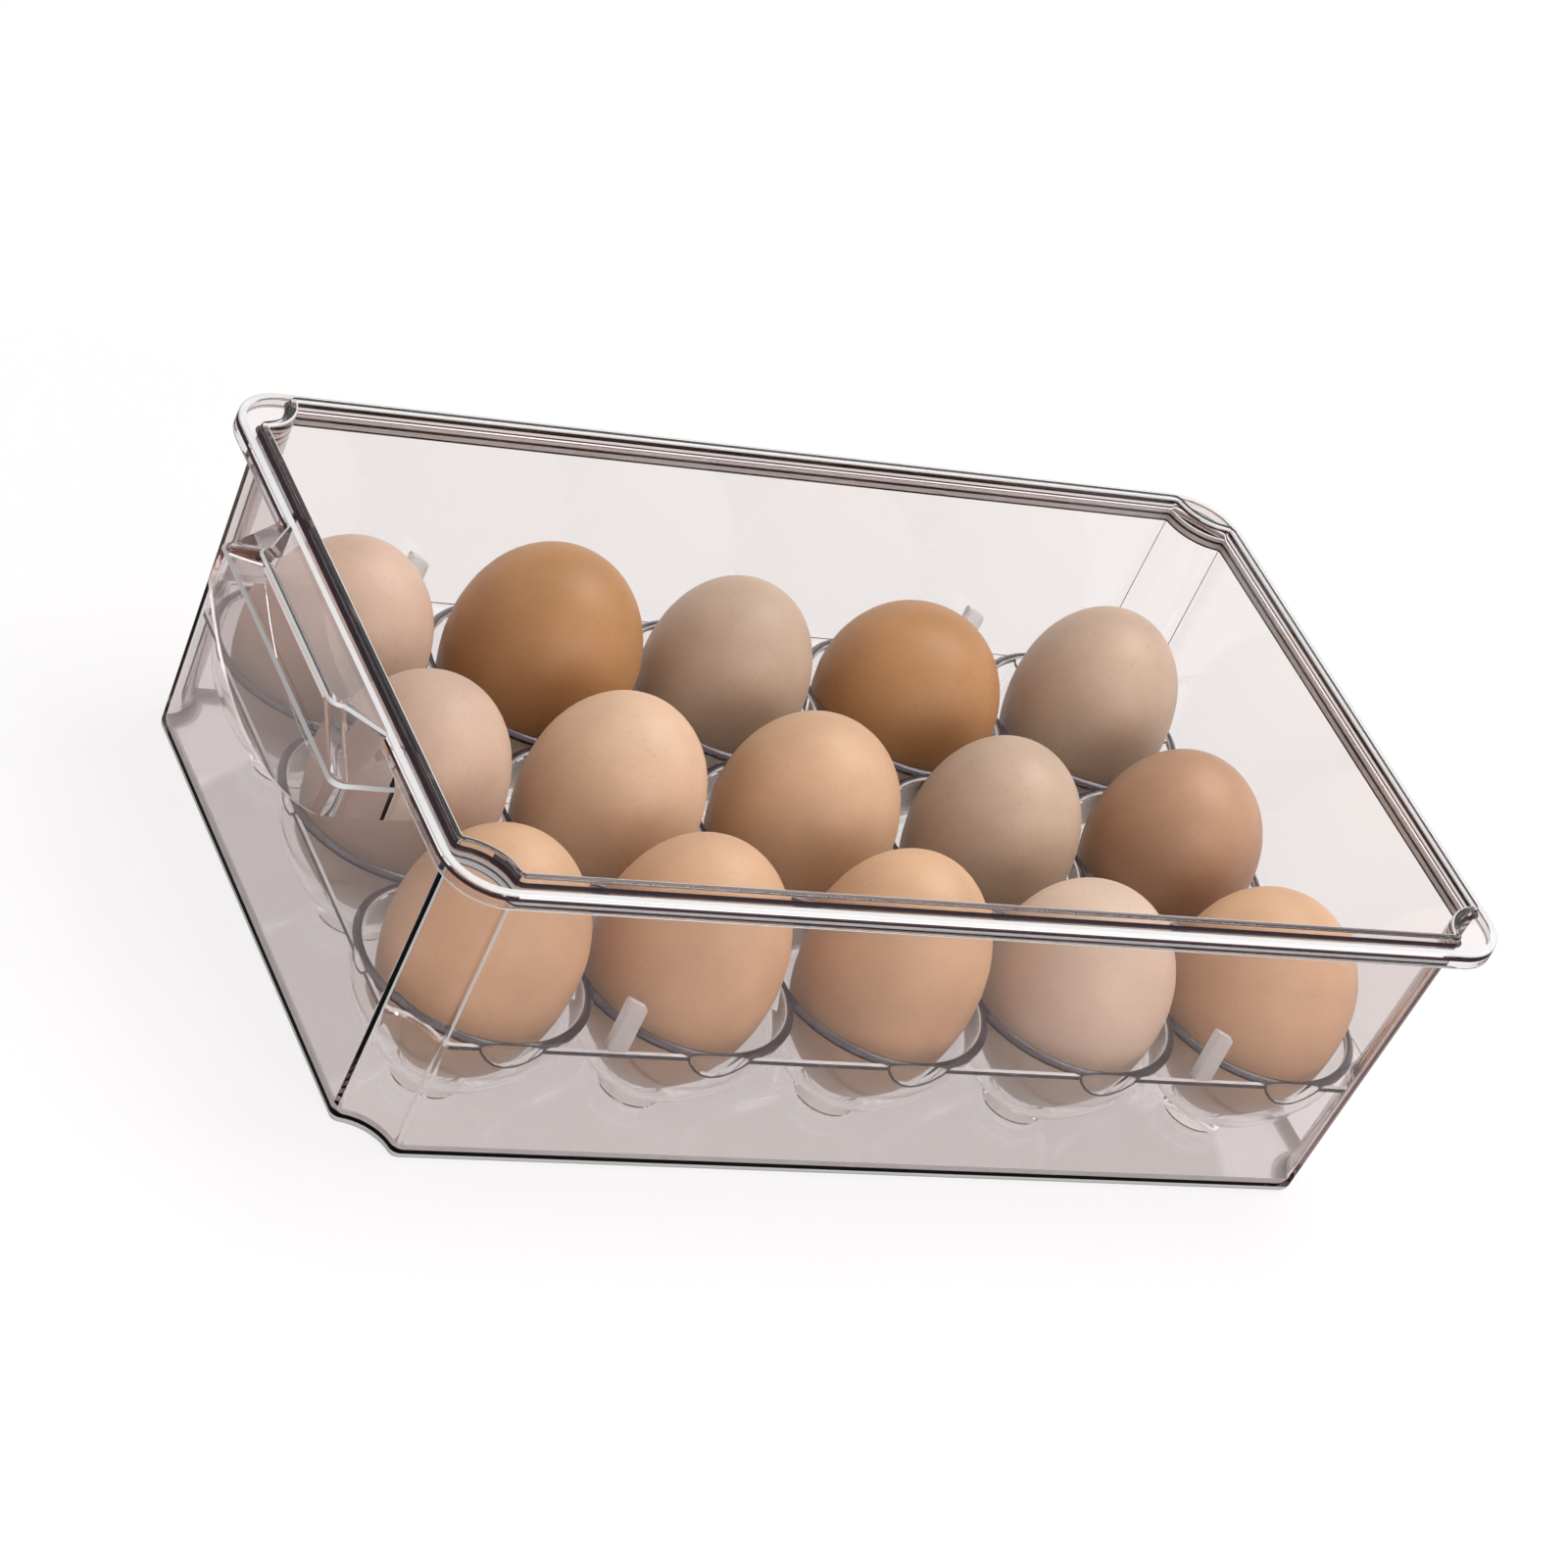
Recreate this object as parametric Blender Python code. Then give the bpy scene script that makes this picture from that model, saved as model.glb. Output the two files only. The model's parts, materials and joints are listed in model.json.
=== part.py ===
"""Clear refrigerator egg holder: a deep open bin with a pull handle, a lift-out tray of
fifteen egg cups, and the fifteen eggs that it holds.

Frame: metres, +Z up, origin at the centre of the bin's underside. +X runs along the long
side, away from the handle, and -Y is the long side that faces the user. The bin and the
tray are each one moulding. The handle and the cups are nodes of their own, so that each
keeps its hollow, and they sit a hair clear of the moulding that they belong to.
"""

import math

import bpy
import bmesh
from mathutils import Vector

MM = 0.001
GAP = 0.3 * MM  # between pieces that touch
BLADE = 10.0 * MM  # how far cutters reach past what they cut
WELD = 0.001 * MM  # corners nearer than this are one

# Bin: outer half sizes at the underside and just under the flange
BASE_HALF = Vector((132.9, 79.7)) * MM
TOP_HALF = Vector((136.4, 84.0)) * MM
WALL = 2.0 * MM
FLOOR = 2.0 * MM
FLANGE_UNDER = 83.5 * MM
FLANGE_TOP = 85.5 * MM
RIDGE_TOP = 87.5 * MM
FLANGE_HALF = Vector((140.0, 87.5)) * MM
FLANGE_CORNER = 14.0 * MM
SKIRT = 1.6 * MM
SKIRT_BOTTOM = 81.0 * MM
NOTCH = 11.0 * MM  # radius of the scallop taken out of each corner
HORN = 2.5 * MM  # rounding where a scallop meets a wall
EDGE = 0.4 * MM  # small chamfers

# Pull handle on the -X side: a flat top, slanted ends and an apron with a bowed lower edge
PULL_TOP = 27.7 * MM  # half width of its top's outer edge
PULL_ROOT = 42.4 * MM  # half width of its top where it meets the flange
PULL_FOOT = 42.5 * MM  # half width of its apron
PULL_TOP_REACH = -150.6 * MM
PULL_REACH = -151.5 * MM
PULL_CREASE = 75.0 * MM  # height where the apron starts
PULL_BOTTOM = 54.0 * MM  # lowest point of the apron, in the middle
PULL_END_BOTTOM = 69.0 * MM  # lowest point of its ends
PULL_WALL = 2.0 * MM
PULL_TURN = 3.0 * MM  # how far its corners are cut back
BOW_REACH = 1.1  # how far the bow's curve goes on past the apron's ends
BOW_STEPS = 12

# Egg tray
COLUMNS = 5
ROWS = 3
PITCH = Vector((52.5, 53.0)) * MM
PLATE_TOP = 36.0 * MM
PLATE = 1.6 * MM
TRAY_CLEARANCE = 0.4 * MM
HOLE_RADIUS = 25.3 * MM
ROW_NAMES = ("front", "middle", "back")
TAB = Vector((5.5, 2.4, 14.5)) * MM
TAB_COLUMN = 1.5  # columns away from the middle
TAB_EDGE = 0.6 * MM
TAB_INSET = 0.3 * MM  # from the plate's edge

# Cup: outer side from rim to foot, then the recess under it; inner side from centre to rim
CUP_OUTER = ((25.0, 36.0), (24.4, 28.0), (21.9, 18.0), (17.8, 9.0), (12.5, 2.4))
CUP_RECESS = ((9.0, 2.4), (8.4, 3.6), (0.0, 3.6))
CUP_INNER = (
    (0.0, 7.0),
    (9.5, 7.6),
    (15.5, 12.5),
    (20.2, 20.5),
    (23.0, 29.5),
    (24.0, 35.6),
    (24.4, 36.0),
)
CUP_FLOOR = 7.0 * MM
EGG_SEAT = CUP_FLOOR + 2 * GAP

# Eggs, row by row from the front, each from the handle's end: (width, length, lean in
# millimetres along X and Y at mid height, colour name)
EGGS = (
    (
        (44.0, 64.2, 0.6, 0.2, "peach"),
        (44.4, 65.4, -1.0, 0.2, "peach"),
        (43.2, 65.6, 0.4, -0.3, "peach"),
        (44.1, 60.0, 0.9, 0.0, "cream"),
        (45.6, 60.5, 0.6, 0.3, "peach"),
    ),
    (
        (43.6, 64.2, 0.0, 0.3, "rose"),
        (43.8, 62.8, -0.9, 0.0, "tan"),
        (45.0, 61.0, -0.3, 0.2, "orange"),
        (41.6, 59.0, 0.8, 0.0, "grey"),
        (43.4, 59.5, 0.6, -0.2, "brown"),
    ),
    (
        (43.0, 61.0, -0.4, 0.0, "rose"),
        (47.4, 64.0, 0.2, 0.0, "ochre"),
        (41.6, 60.0, -0.8, 0.2, "grey"),
        (46.6, 56.6, -0.5, 0.0, "ochre"),
        (42.0, 61.8, 0.7, 0.0, "grey"),
    ),
)
EGG_COLOURS = {
    "peach": (0.76, 0.52, 0.35),
    "cream": (0.82, 0.63, 0.47),
    "rose": (0.73, 0.52, 0.40),
    "tan": (0.72, 0.46, 0.28),
    "orange": (0.70, 0.41, 0.22),
    "brown": (0.63, 0.39, 0.24),
    "grey": (0.60, 0.41, 0.28),
    "ochre": (0.52, 0.28, 0.12),
}

CORNER_STEPS = 5
CUP_STEPS = 20
EGG_STEPS = 16
EGG_RINGS = 8


def clear_scene():
    for obj in list(bpy.data.objects):
        bpy.data.objects.remove(obj, do_unlink=True)


def make_material(name, colour, roughness, alpha=1.0, transmission=0.0):
    material = bpy.data.materials.new(name)
    material.use_nodes = True
    shader = material.node_tree.nodes["Principled BSDF"]
    shader.inputs["Base Color"].default_value = (*colour, 1.0)
    shader.inputs["Roughness"].default_value = roughness
    shader.inputs["Metallic"].default_value = 0.0
    shader.inputs["Alpha"].default_value = alpha
    shader.inputs["Transmission Weight"].default_value = transmission
    return material


def clear_plastic(name):
    return make_material(name, (0.93, 0.90, 0.89), 0.05, alpha=0.35, transmission=0.9)


def finish(name, bm, material, at=(0.0, 0.0, 0.0), parent=None, smooth=False):
    """Turns a bmesh into a named object, with its faces pointing out."""
    bmesh.ops.remove_doubles(bm, verts=bm.verts, dist=WELD)
    bmesh.ops.recalc_face_normals(bm, faces=bm.faces)
    mesh = bpy.data.meshes.new(name)
    bm.to_mesh(mesh)
    bm.free()
    if smooth:
        mesh.shade_smooth()
        mesh.set_sharp_from_angle(angle=math.radians(35))
    return place(name, mesh, material, at, parent)


def place(name, mesh, material, at=(0.0, 0.0, 0.0), parent=None):
    """Links an object for a mesh, in the mesh's own material slot."""
    obj = bpy.data.objects.new(name, mesh)
    if not mesh.materials:
        mesh.materials.append(material)
    obj.location = at
    obj.parent = parent
    bpy.context.scene.collection.objects.link(obj)
    return obj


def arc(centre, radius, start, end, steps):
    """Points from one angle to another, both ends included."""
    points = []
    for i in range(steps + 1):
        angle = start + (end - start) * i / steps
        points.append(
            (centre[0] + radius * math.cos(angle), centre[1] + radius * math.sin(angle))
        )
    return points


def mirrored(quarter):
    """A closed outline from its +X +Y quarter, which runs from the +X wall to the +Y wall."""
    outline = list(quarter)
    outline += [(-x, y) for x, y in reversed(quarter)]
    outline += [(-x, -y) for x, y in quarter]
    outline += [(x, -y) for x, y in reversed(quarter)]
    return outline


def rounded_outline(half, radius):
    """A rounded rectangle, with as many points as scalloped_outline gives."""
    centre = (half[0] - radius, half[1] - radius)
    return mirrored(arc(centre, radius, 0.0, math.pi / 2, CORNER_STEPS + 4))


def scalloped_outline(half, corner, notch, horn):
    """A rectangle with a round scallop, centred on corner, out of each of its corners."""
    reach = notch + horn
    low = (half[0] - horn, corner[1] - math.sqrt(reach**2 - (half[0] - horn - corner[0]) ** 2))
    high = (corner[0] - math.sqrt(reach**2 - (half[1] - horn - corner[1]) ** 2), half[1] - horn)
    low_turn = math.atan2(corner[1] - low[1], corner[0] - low[0])
    high_turn = math.atan2(corner[1] - high[1], corner[0] - high[0])
    quarter = arc(low, horn, 0.0, low_turn, 2)
    scallop = arc(corner, notch, low_turn - math.pi, high_turn - math.pi, CORNER_STEPS)
    quarter += scallop[1:-1]
    quarter += arc(high, horn, high_turn, math.pi / 2, 2)
    return mirrored(quarter)


def wall_half(z):
    """The bin's outer half sizes at a height."""
    return BASE_HALF.lerp(TOP_HALF, min(z / FLANGE_UNDER, 1.0))


def bin_outline(z, inset=0.0):
    """The bin's wall at a height, moved in from its outer surface."""
    corner = wall_half(z)
    half = corner - Vector((inset, inset))
    return scalloped_outline(half, corner, NOTCH + inset, max(HORN - inset, 0.6 * MM))


def stack(bm, rings):
    """Joins outlines of equal length, each at its height, and caps the first and the last."""
    loops = [[bm.verts.new((x, y, z)) for x, y in outline] for outline, z in rings]
    count = len(loops[0])
    for lower, upper in zip(loops, loops[1:]):
        for i in range(count):
            j = (i + 1) % count
            bm.faces.new((lower[i], lower[j], upper[j], upper[i]))
    bm.faces.new(loops[0])
    bm.faces.new(loops[-1])


def make_bin(material):
    flange_in = FLANGE_HALF - Vector((SKIRT, SKIRT))
    chamfered = FLANGE_HALF - Vector((EDGE, EDGE))
    rings = [
        (bin_outline(0.0, 1.2 * MM), 0.0),
        (bin_outline(1.2 * MM), 1.2 * MM),
        (bin_outline(FLANGE_UNDER), FLANGE_UNDER),
        (rounded_outline(flange_in, FLANGE_CORNER - SKIRT), FLANGE_UNDER),
        (rounded_outline(flange_in, FLANGE_CORNER - SKIRT), SKIRT_BOTTOM),
        (rounded_outline(FLANGE_HALF, FLANGE_CORNER), SKIRT_BOTTOM),
        (rounded_outline(FLANGE_HALF, FLANGE_CORNER), FLANGE_TOP - EDGE),
        (rounded_outline(chamfered, FLANGE_CORNER - EDGE), FLANGE_TOP),
        (bin_outline(FLANGE_TOP), FLANGE_TOP),
        (bin_outline(RIDGE_TOP), RIDGE_TOP - EDGE),
        (bin_outline(RIDGE_TOP, EDGE), RIDGE_TOP),
        (bin_outline(RIDGE_TOP, WALL - EDGE), RIDGE_TOP),
        (bin_outline(RIDGE_TOP, WALL), RIDGE_TOP - EDGE),
        (bin_outline(FLOOR + 1.5 * MM, WALL), FLOOR + 1.5 * MM),
        (bin_outline(FLOOR, WALL + 1.5 * MM), FLOOR),
    ]
    bm = bmesh.new()
    stack(bm, rings)
    return finish("bin", bm, material)


def handle_outline(reach, width, root_width, inset=0.0):
    """The handle seen from above, from its root in the bin's wall to its outer edge."""
    root = -wall_half(PULL_BOTTOM)[0] + PULL_WALL
    half = width - inset
    outer = reach + inset
    quarter = [(outer, half - PULL_TURN), (outer + PULL_TURN, half), (root, root_width - inset)]
    return quarter + [(x, -y) for x, y in reversed(quarter)]


def handle_solid(inset, bottom, top):
    """The handle's outer surface, or its inner one where inset is its wall."""
    crease = handle_outline(PULL_REACH, PULL_FOOT, PULL_FOOT, inset)
    flat = handle_outline(PULL_TOP_REACH, PULL_TOP, PULL_ROOT, inset)
    bm = bmesh.new()
    stack(bm, [(crease, bottom), (crease, PULL_CREASE - inset), (flat, top)])
    return bm


def cutter(name, bm):
    """An object that only cuts."""
    obj = finish(name, bm, None)
    obj.hide_render = True
    obj.display_type = "WIRE"
    return obj


def prism(near, far):
    """A solid between two like outlines."""
    bm = bmesh.new()
    loops = [[bm.verts.new(point) for point in outline] for outline in (near, far)]
    count = len(near)
    for i in range(count):
        j = (i + 1) % count
        bm.faces.new((loops[0][i], loops[0][j], loops[1][j], loops[1][i]))
    for loop in loops:
        bm.faces.new(loop)
    return bm


def bow_cutter():
    """What lies under the apron's lower edge, which is lowest in the middle."""
    rise = PULL_END_BOTTOM - PULL_BOTTOM
    end = PULL_FOOT * BOW_REACH
    outline = []
    for i in range(BOW_STEPS + 1):
        share = 2.0 * i / BOW_STEPS - 1.0
        outline.append((share * end, PULL_BOTTOM + rise * share**2))
    outline += [(end, PULL_BOTTOM - BLADE), (-end, PULL_BOTTOM - BLADE)]
    near, far = [
        [(x, y, z) for y, z in outline] for x in (PULL_REACH - BLADE, -BASE_HALF[0])
    ]
    return cutter("handle_bow", prism(near, far))


def bin_cutter():
    """The room that the bin's flange and sloping wall take, and everything further in."""
    flange = -FLANGE_HALF[0] - GAP
    under = SKIRT_BOTTOM - GAP
    low, high = PULL_BOTTOM - BLADE, FLANGE_TOP + BLADE
    outline = [(-wall_half(z)[0] - GAP, z) for z in (low, under)]
    outline += [(flange, under), (flange, high), (0.0, high), (0.0, low)]
    reach = PULL_FOOT + BLADE
    near, far = [[(x, y, z) for x, z in outline] for y in (-reach, reach)]
    return cutter("bin_room", prism(near, far))


def make_handle(material):
    """An open-bottomed scoop, so that fingers reach up behind its apron."""
    top = FLANGE_TOP - GAP
    handle = finish("pull_handle", handle_solid(0.0, PULL_BOTTOM - BLADE, top), material)
    hollow = handle_solid(PULL_WALL, PULL_BOTTOM - 2 * BLADE, top - PULL_WALL)
    tools = [bin_cutter(), cutter("handle_hollow", hollow), bow_cutter()]
    for tool in tools:
        cut = handle.modifiers.new("cut", "BOOLEAN")
        cut.operation = "DIFFERENCE"
        cut.object = tool
    return handle


def cup_centre(column, row):
    return (
        (column - (COLUMNS - 1) / 2) * PITCH[0],
        (row - (ROWS - 1) / 2) * PITCH[1],
    )


def cells():
    """Each cup's column, row and the end of its name."""
    for row in range(ROWS):
        for column in range(COLUMNS):
            yield column, row, f"{ROW_NAMES[row]}_{column + 1}"


def make_tray_plate(material):
    """The flat plate between the cups, with a hole for each cup and scalloped corners."""
    corner = wall_half(PLATE_TOP)
    room = WALL + TRAY_CLEARANCE
    outline = scalloped_outline(
        corner - Vector((room, room)), corner, NOTCH + room, 1.5 * MM
    )
    bm = bmesh.new()
    edges = []
    loops = [outline]
    for column, row, _ in cells():
        loops.append(arc(cup_centre(column, row), HOLE_RADIUS, 0.0, math.tau, CUP_STEPS)[:-1])
    for loop in loops:
        verts = [bm.verts.new((x, y, PLATE_TOP)) for x, y in loop]
        edges += [bm.edges.new((a, b)) for a, b in zip(verts, verts[1:] + verts[:1])]
    bmesh.ops.triangle_fill(bm, edges=edges, use_beauty=True, use_dissolve=False)
    top = list(bm.faces)
    down = bmesh.ops.extrude_face_region(bm, geom=top)
    moved = [item for item in down["geom"] if isinstance(item, bmesh.types.BMVert)]
    bmesh.ops.translate(bm, verts=moved, vec=(0.0, 0.0, -PLATE))
    return finish("tray_plate", bm, material)


def turned(bm, profile, steps):
    """Spins a profile of (radius, height) about Z. A radius of zero is one point."""
    rings = []
    for radius, z in profile:
        if radius == 0.0:
            rings.append([bm.verts.new((0.0, 0.0, z))])
        else:
            circle = arc((0.0, 0.0), radius, 0.0, math.tau, steps)[:-1]
            rings.append([bm.verts.new((x, y, z)) for x, y in circle])
    for lower, upper in zip(rings, rings[1:]):
        if len(lower) == len(upper) == 1:
            continue
        for i in range(steps):
            j = (i + 1) % steps
            corners = [lower[i % len(lower)], lower[j % len(lower)]]
            corners += [upper[j % len(upper)], upper[i % len(upper)]]
            bm.faces.new(list(dict.fromkeys(corners)))


def make_cup_mesh(material):
    profile = [(r * MM, z * MM) for r, z in CUP_OUTER + CUP_RECESS]
    inner = [(r * MM, z * MM) for r, z in CUP_INNER]
    bm = bmesh.new()
    turned(bm, profile + inner + profile[:1], CUP_STEPS)
    obj = finish("cup_pattern", bm, material, smooth=True)
    mesh = obj.data
    bpy.data.objects.remove(obj)
    return mesh


def make_cups(material, parent):
    mesh = make_cup_mesh(material)
    for column, row, name in cells():
        x, y = cup_centre(column, row)
        place(f"egg_cup_{name}", mesh, material, (x, y, 0.0), parent)


def make_lift_tabs(material, parent):
    """Four upright fins to pinch when the tray is lifted out."""
    edge = wall_half(PLATE_TOP)[1] - WALL - TRAY_CLEARANCE
    for side, side_name in ((-1, "front"), (1, "back")):
        for end, end_name in ((-1, "left"), (1, "right")):
            bm = bmesh.new()
            bmesh.ops.create_cube(bm, size=1.0)
            bmesh.ops.scale(bm, vec=TAB, verts=bm.verts)
            top = [e for e in bm.edges if min(v.co.z for v in e.verts) > 0.0]
            bmesh.ops.bevel(bm, geom=top, offset=TAB_EDGE, segments=1, affect="EDGES")
            at = (
                end * TAB_COLUMN * PITCH[0],
                side * (edge - TAB[1] / 2 - TAB_INSET),
                PLATE_TOP + GAP + TAB[2] / 2,
            )
            finish(f"lift_tab_{side_name}_{end_name}", bm, material, at, parent)


def egg_profile(width, length):
    """Half of an egg's outline, from its pointed bottom to its blunt top."""
    points = []
    for i in range(EGG_RINGS + 1):
        angle = math.pi * i / EGG_RINGS
        z = -math.cos(angle)
        blunt = 1.0 + 0.10 * z
        radius = width / 2 * math.sin(angle) * blunt
        points.append((radius if 0 < i < EGG_RINGS else 0.0, z * length / 2))
    widest = max(radius for radius, _ in points)
    return [(radius * width / 2 / widest, z) for radius, z in points]


def make_eggs(parent):
    materials = {
        name: make_material(f"egg_{name}", colour, 0.55)
        for name, colour in EGG_COLOURS.items()
    }
    for column, row, name in cells():
        width, length, lean_x, lean_y, colour = EGGS[row][column]
        bm = bmesh.new()
        profile = egg_profile(width * MM, length * MM)
        turned(bm, profile, EGG_STEPS)
        lean = Vector((lean_x, lean_y, length / 2)).normalized()
        turn = Vector((0.0, 0.0, 1.0)).rotation_difference(lean).to_matrix()
        bmesh.ops.rotate(bm, verts=bm.verts, cent=(0.0, 0.0, 0.0), matrix=turn)
        low = min(v.co.z for v in bm.verts)
        x, y = cup_centre(column, row)
        at = (x + lean_x * MM, y + lean_y * MM, EGG_SEAT - low)
        finish(f"egg_{name}", bm, materials[colour], at, parent, smooth=True)


def make_empty(name, at=(0.0, 0.0, 0.0), parent=None):
    empty = bpy.data.objects.new(name, None)
    empty.location = at
    empty.parent = parent
    bpy.context.scene.collection.objects.link(empty)
    return empty


def main():
    clear_scene()
    bin_plastic = clear_plastic("clear_plastic_bin")
    tray_plastic = clear_plastic("clear_plastic_tray")
    make_bin(bin_plastic)
    make_handle(bin_plastic)
    tray = make_empty("tray_lift_axis")
    plate = make_tray_plate(tray_plastic)
    plate.parent = tray
    make_cups(tray_plastic, tray)
    make_lift_tabs(tray_plastic, tray)
    eggs = make_empty("egg_lift_axis", parent=tray)
    make_eggs(eggs)


main()
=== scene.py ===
"""Looks for the clear refrigerator egg holder: the bin with its pull handle as one clear
moulding, the lift-out tray with its fifteen cups as another, and fifteen hens' eggs.

Everything is in metres in the CAD's frame: +Z up, the handle on the -X side, and -Y is the
long side that faces the user. Sizes below are in millimetres times MM, other than a cup's
section, which is in plain millimetres. The stage is a glowing pale table in a pale studio.
"""

import json
import math

import bmesh
import bpy
from mathutils import Matrix, Vector, noise


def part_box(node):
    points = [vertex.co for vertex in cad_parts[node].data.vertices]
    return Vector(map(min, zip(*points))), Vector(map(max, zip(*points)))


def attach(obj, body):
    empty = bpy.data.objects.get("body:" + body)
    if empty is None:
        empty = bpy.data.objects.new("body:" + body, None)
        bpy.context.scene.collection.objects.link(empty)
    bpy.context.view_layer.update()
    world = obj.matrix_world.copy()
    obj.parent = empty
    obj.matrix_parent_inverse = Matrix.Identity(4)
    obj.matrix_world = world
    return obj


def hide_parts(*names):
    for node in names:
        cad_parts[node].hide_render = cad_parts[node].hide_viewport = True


MM = 0.001
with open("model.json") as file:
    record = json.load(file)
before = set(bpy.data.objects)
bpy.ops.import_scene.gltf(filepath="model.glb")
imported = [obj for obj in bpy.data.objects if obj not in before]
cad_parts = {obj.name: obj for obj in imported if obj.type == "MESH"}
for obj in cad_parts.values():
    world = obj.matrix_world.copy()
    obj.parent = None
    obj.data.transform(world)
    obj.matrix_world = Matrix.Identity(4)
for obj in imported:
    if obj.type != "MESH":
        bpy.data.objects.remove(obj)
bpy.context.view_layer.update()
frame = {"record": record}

# The bin, from the frame and from the mould's own draft and wall
BIN_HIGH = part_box("bin")[1]
FLANGE_HALF = Vector((BIN_HIGH.x, BIN_HIGH.y))
RIDGE_TOP = BIN_HIGH.z
FLANGE_TOP = RIDGE_TOP - 2.0 * MM
FLANGE_UNDER = FLANGE_TOP - 2.0 * MM
SKIRT_BOTTOM = FLANGE_TOP - 4.5 * MM
SKIRT = 1.6 * MM
FLANGE_CORNER = 14.0 * MM
TOP_HALF = FLANGE_HALF - Vector((3.6, 3.5)) * MM  # the wall's outer half sizes at the flange
BASE_HALF = FLANGE_HALF - Vector((7.1, 7.8)) * MM  # and at the floor
WALL = 2.0 * MM
NOTCH = 11.0 * MM  # radius of the scallop in each corner
HORN = 2.5 * MM  # rounding where a scallop meets a wall
LEAST_HORN = 0.6 * MM
FILLET = 2.6 * MM  # inside and outside the base
SOFT = 0.5 * MM  # rounding of the rim's edges
SKIRT_SHADE_BAND = (FLANGE_TOP - 1.9 * MM, FLANGE_TOP - 0.9 * MM)  # the line of painted shade on the skirt
WALL_PAINTED_LINES = tuple(z * MM for z in (79.9, 80.4, 81.6, 82.3, 83.2))  # lines of painted shade and painted highlight on the wall behind it
RIDGE_SHADE_TOP = FLANGE_TOP + 0.6 * MM  # top of the line of painted shade at the ridge's foot
RIDGE_FOOT = 0.8 * MM  # how far that line goes on over the flange
FLANGE_HIGHLIGHT = 1.9 * MM  # width of the painted highlight band on the flange
TINY = 0.02 * MM  # less than any gap or edge that is meant
SPARE = 5.0 * MM  # how far a cutting solid goes on past what it cuts

# Slots of a moulding's material: most of it, its lines of painted shade, its lines of painted
# highlight
CLEAR, PAINTED_SHADE, PAINTED_HIGHLIGHT, FROSTED = range(4)
WALL_CORNER_HIGHLIGHTS = "corners"  # a stretch of wall that is clear, with lines of painted highlight at its corners

# How much of a face's normal lies along an axis, which tells the way that the face looks
BARELY, PARTLY, HALF, MOSTLY, NEARLY_ALL = 0.1, 0.2, 0.5, 0.7, 0.9

# The pull handle, from the frame
PULL_LOW, PULL_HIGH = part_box("pull_handle")
PULL_REACH = PULL_LOW.x
PULL_TOP_REACH = PULL_REACH + 0.9 * MM
PULL_FOOT = PULL_HIGH.y  # half width of its apron
PULL_ROOT = PULL_FOOT - 0.1 * MM  # half width of its top where it meets the wall
PULL_START = -BASE_HALF.x - 1.9 * MM  # its root, within the wall's thickness
PULL_TOP = 27.7 * MM  # half width of its top's outer edge
PULL_CREASE = 75.0 * MM
PULL_STEP = 0.6 * MM  # how far the apron stands out under the crease
PULL_BOTTOM = PULL_LOW.z
PULL_WALL = 2.0 * MM
PULL_TURN = 3.0 * MM  # rounding of its corners, seen from above
PULL_EDGE = 0.6 * MM  # chamfer round its top
PULL_SHADE_LINE = 2.0 * MM  # height of the line of painted shade at its ends
BOW_HALF = PULL_FOOT * 1.1  # half width of the bow that cuts its apron's lower edge
BOW_RISE = 15.0 * MM  # how much higher the bow is there than in the middle
BOW_PAST_ROOT = 0.9 * MM  # how far inside its root the bow ends

# The tray, from the frame
PLATE_LOW, PLATE_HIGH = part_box("tray_plate")
PLATE_TOP = PLATE_HIGH.z
TRAY_WALL = 1.2 * MM  # of the flat facets where a cup meets the tray's edge
TRAY_HORN = 1.5 * MM
ROWS = ("front", "middle", "back")
COLUMNS = range(1, 6)
TABS = ("front_left", "front_right", "back_left", "back_right")
TAB_FOOT = PLATE_TOP + 1.2 * MM  # a tab is frosted above this
TAB_SUNK = 1.0 * MM  # how far it goes down into the plate
TAB_SLANT = 2.5 * MM
TAB_EDGE = 0.35 * MM

# A cup's section in millimetres, (radius, height above the floor)
CUP_OUTER = (
    (0.0, 5.6), (5.6, 5.7), (6.2, 2.9), (6.9, 2.5), (7.7, 2.9), (8.5, 6.8), (11.2, 8.4),
    (14.6, 11.0), (17.8, 14.4), (20.8, 18.2), (23.5, 22.5), (25.4, 26.7), (26.5, 30.8),
    (27.2, 33.6), (27.5, 36.0),
)
BEAD = ((27.1, 36.5), (26.6, 36.85), (26.1, 36.95), (25.6, 36.75), (25.2, 36.2), (24.6, 36.1))
CUP_INNER = (
    (0.0, 7.0), (3.6, 7.1), (7.0, 7.9), (10.4, 9.5), (13.6, 12.0), (16.7, 15.2), (19.6, 18.9),
    (22.2, 23.0), (24.0, 27.0), (25.0, 31.0), (25.3, 36.2),
)
CUP_ABOVE = 60.0  # top of what hollows a cup out
BEAD_IN, BEAD_OUT = 25.5 * MM, 27.4 * MM  # the part of a cup's rim that gets painted shade
CUP_PAINTED_HIGHLIGHT = 0.5 * MM  # depth under the plate's top of the painted highlight band inside it
PLATE_EDGE = 0.5 * MM  # chamfer round the plate's top
FACET_SHADE_LINE = 0.6 * MM  # width of the line of painted shade round a facet

# The clear plastic: its colour in depth, and how strong that is in each moulding
SMOKE = (0.45, 0.28, 0.26)
BIN_DENSITY = 95.0
TRAY_DENSITY = 12.0
PLASTIC_INDEX = 1.47

# The finish of each slot of a moulding: name's ending, colour, roughness, clearness; the second row
# is painted shade, the third painted highlight
PLASTICS = (
    ("", (1.0, 1.0, 1.0), 0.02, 1.0),
    # dark and half clear: painted shade
    ("_painted_shade", (0.055, 0.036, 0.045), 0.10, 0.5),
    # near white and mostly diffuse: painted highlight
    ("_painted_highlight", (0.97, 0.96, 0.96), 0.22, 0.4),
    ("_frosted", (0.98, 0.96, 0.95), 0.35, 0.6),
)

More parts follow.
